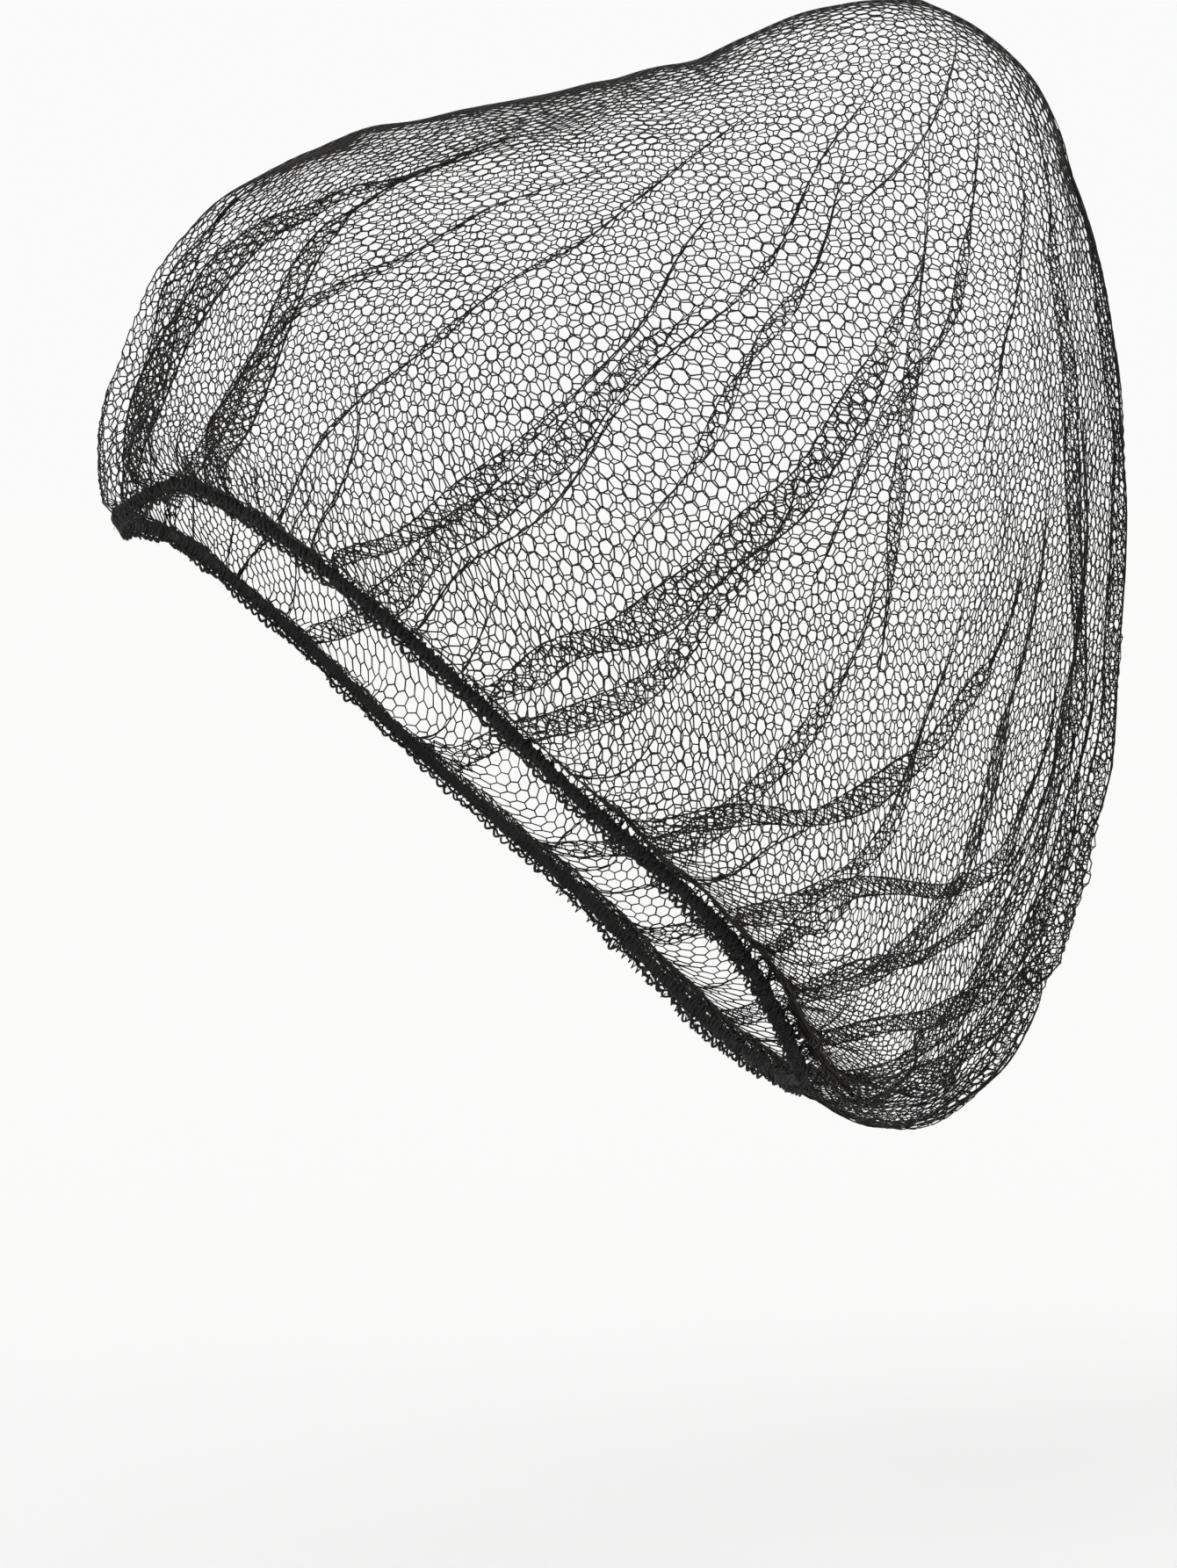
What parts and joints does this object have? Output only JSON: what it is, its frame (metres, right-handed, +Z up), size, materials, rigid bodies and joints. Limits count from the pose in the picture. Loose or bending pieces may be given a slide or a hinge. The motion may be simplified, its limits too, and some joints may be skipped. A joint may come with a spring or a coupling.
{
  "type": "hairnet",
  "caption": "Bag of open hexagonal mesh gathered onto a crocheted elastic loop, in its worn form over a head with a high knot of hair.",
  "frame": {"origin": "middle of the elastic loop, on the line from its forehead end to its nape end, where the head enters", "axes": "the face looks towards -Y, the wearer's left is +X, +Z is up along the standing wearer"},
  "size_m": [0.1703, 0.2398, 0.2612],
  "materials": {
    "nylon_mesh": "satin",
    "elastic_crochet": "matte"
  },
  "bodies": {
    "root": {"net": "nylon_mesh", "elastic_band": "elastic_crochet"}
  },
  "joints": []
}
